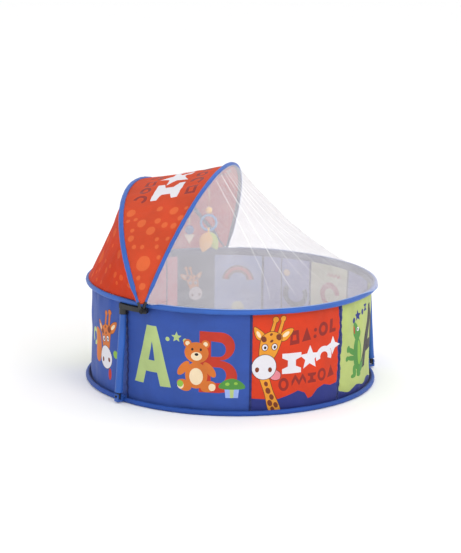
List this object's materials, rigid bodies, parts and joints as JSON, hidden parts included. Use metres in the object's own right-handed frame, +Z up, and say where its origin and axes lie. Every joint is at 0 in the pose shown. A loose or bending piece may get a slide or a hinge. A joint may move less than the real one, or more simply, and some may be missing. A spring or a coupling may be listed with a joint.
{
  "type": "travel play yard",
  "caption": "Low round folding play yard with a printed cloth wall, swing-out struts, a two-arch canopy with mosquito net, and hanging toys.",
  "frame": {"origin": "centre of the round base, on the floor", "axes": "+Z up, +Y towards the canopy side, -Y towards the low entry side, +X to the right seen from the entry"},
  "size_m": [1.12, 1.1, 0.8115],
  "materials": {
    "printed_blue": "woven polyester, printed",
    "printed_red": "woven polyester, printed",
    "printed_lime": "woven polyester, printed",
    "lining_print": "woven polyester, printed inside",
    "lining_green": "woven polyester, printed inside",
    "lining_pink": "woven polyester, printed inside",
    "lining_navy": "woven polyester, printed inside",
    "binding_blue": "woven tape, satin",
    "floor_navy": "coated woven floor cloth",
    "mat_cloth": "quilted, matt",
    "net_white": "knitted mesh, sheer",
    "hem_white": "folded hem",
    "spring_wire": "drawn spring steel",
    "ferrule": "crimped",
    "pins": "black finish",
    "strut_tube": "drawn tube",
    "black_plastic": "fine texture",
    "blue_plastic": "fine texture",
    "fibre_rod": "smooth glass-fibre rod",
    "toy_ribbon": "satin ribbon",
    "toy_ring": "smooth",
    "toy_leaf": "plush felt",
    "toy_tuft": "tufted yarn",
    "toy_pennant": "felt"
  },
  "bodies": {
    "base": {"floor_cloth": "floor_navy", "floor_mat": "mat_cloth", "lower_hoop_wire": "spring_wire", "lower_hoop_ferrule": "ferrule", "lower_hoop_sleeve": "binding_blue", "wall_panel_1": "printed_blue", "wall_panel_2": "printed_red", "wall_panel_3": "printed_lime", "wall_panel_4": "printed_blue", "wall_panel_5": "printed_red", "wall_panel_6": "printed_lime", "wall_panel_7": "printed_blue", "lining_panel_1": "lining_print", "lining_panel_2": "lining_green", "lining_panel_3": "lining_print", "lining_panel_4": "lining_green", "lining_panel_5": "lining_print", "lining_panel_6": "lining_navy", "lining_panel_7": "lining_pink", "seam_tapes": "binding_blue", "foot_bracket_left": "blue_plastic", "foot_bracket_right": "blue_plastic", "foot_bracket_front": "blue_plastic", "foot_pins": "pins"},
    "top_ring": {"upper_hoop_wire": "spring_wire", "upper_hoop_ferrule": "ferrule", "upper_hoop_sleeve": "binding_blue", "rim_connector_left": "black_plastic", "rim_connector_right": "black_plastic", "rim_connector_front": "black_plastic", "canopy_pivot_pins": "pins", "canopy_back": "printed_red"},
    "front_arch": {"front_arch_rod": "fibre_rod", "front_arch_ends": "black_plastic", "front_arch_binding": "binding_blue", "canopy_front": "printed_red", "net": "net_white", "net_hem": "hem_white", "toy_loops": "binding_blue"},
    "mid_arch": {"mid_arch_rod": "fibre_rod", "mid_arch_ends": "black_plastic", "mid_arch_binding": "binding_blue"},
    "strut_left": {"strut_left": "strut_tube", "strut_cap_left": "black_plastic", "strut_tip_left": "black_plastic", "strut_sleeve_left": "binding_blue"},
    "strut_right": {"strut_right": "strut_tube", "strut_cap_right": "black_plastic", "strut_tip_right": "black_plastic", "strut_sleeve_right": "binding_blue"},
    "strut_front": {"strut_front": "strut_tube", "strut_cap_front": "black_plastic", "strut_tip_front": "black_plastic", "strut_sleeve_front": "binding_blue"},
    "ring_toy": {"ring_toy_ribbon": "toy_ribbon", "ring_toy_ring": "toy_ring", "ring_toy_leaves": "toy_leaf"},
    "tuft_toy": {"tuft_toy_ribbon": "toy_ribbon", "tuft_toy_tuft": "toy_tuft", "tuft_toy_pennant": "toy_pennant"}
  },
  "joints": [
    {"name": "wall_collapse", "type": "slide", "parent": "base", "child": "top_ring", "axis": [0, 0, -1], "range_m": [0, 0.23], "deforming": ["wall_panel_1", "wall_panel_2", "wall_panel_3", "wall_panel_4", "wall_panel_5", "wall_panel_6", "wall_panel_7", "lining_panel_1", "lining_panel_2", "lining_panel_3", "lining_panel_4", "lining_panel_5", "lining_panel_6", "lining_panel_7", "seam_tapes"]},
    {"name": "strut_left_swing", "type": "hinge", "parent": "base", "child": "strut_left", "pos_m": [-0.4893, 0.2825, 0.024], "axis": [-0.8639, 0.4988, 0.0698], "range_deg": [0, 92.5]},
    {"name": "strut_right_swing", "type": "hinge", "parent": "base", "child": "strut_right", "pos_m": [0.4893, 0.2825, 0.024], "axis": [-0.8639, -0.4988, -0.0698], "range_deg": [0, 92.5]},
    {"name": "strut_front_swing", "type": "hinge", "parent": "base", "child": "strut_front", "pos_m": [0.2825, -0.4893, 0.024], "axis": [-0.4988, 0.8639, -0.0698], "range_deg": [0, 92.5]},
    {"name": "canopy_fold", "type": "hinge", "parent": "top_ring", "child": "front_arch", "pos_m": [0, 0.176, 0.362], "axis": [-1, 0, 0], "range_deg": [0, 94.5], "deforming": ["canopy_front", "canopy_back", "net", "net_hem"]},
    {"name": "mid_arch_fold", "type": "hinge", "parent": "top_ring", "child": "mid_arch", "pos_m": [0, 0.176, 0.362], "axis": [-1, 0, 0], "range_deg": [0, 60.3]},
    {"name": "ring_toy_swing", "type": "hinge", "parent": "front_arch", "child": "ring_toy", "pos_m": [-0.19067, 0.03842, 0.75319], "axis": [1, 0, 0], "range_deg": [-30, 30]},
    {"name": "tuft_toy_swing", "type": "hinge", "parent": "front_arch", "child": "tuft_toy", "pos_m": [-0.34295, 0.06598, 0.6708], "axis": [1, 0, 0], "range_deg": [-30, 30]}
  ],
  "couplings": [
    {"joint": "strut_left_swing", "follows": "wall_collapse", "rad_per_m": 6.9813},
    {"joint": "strut_right_swing", "follows": "wall_collapse", "rad_per_m": 6.9813},
    {"joint": "strut_front_swing", "follows": "wall_collapse", "rad_per_m": 6.9813},
    {"joint": "mid_arch_fold", "follows": "canopy_fold", "ratio": 0.63492}
  ]
}
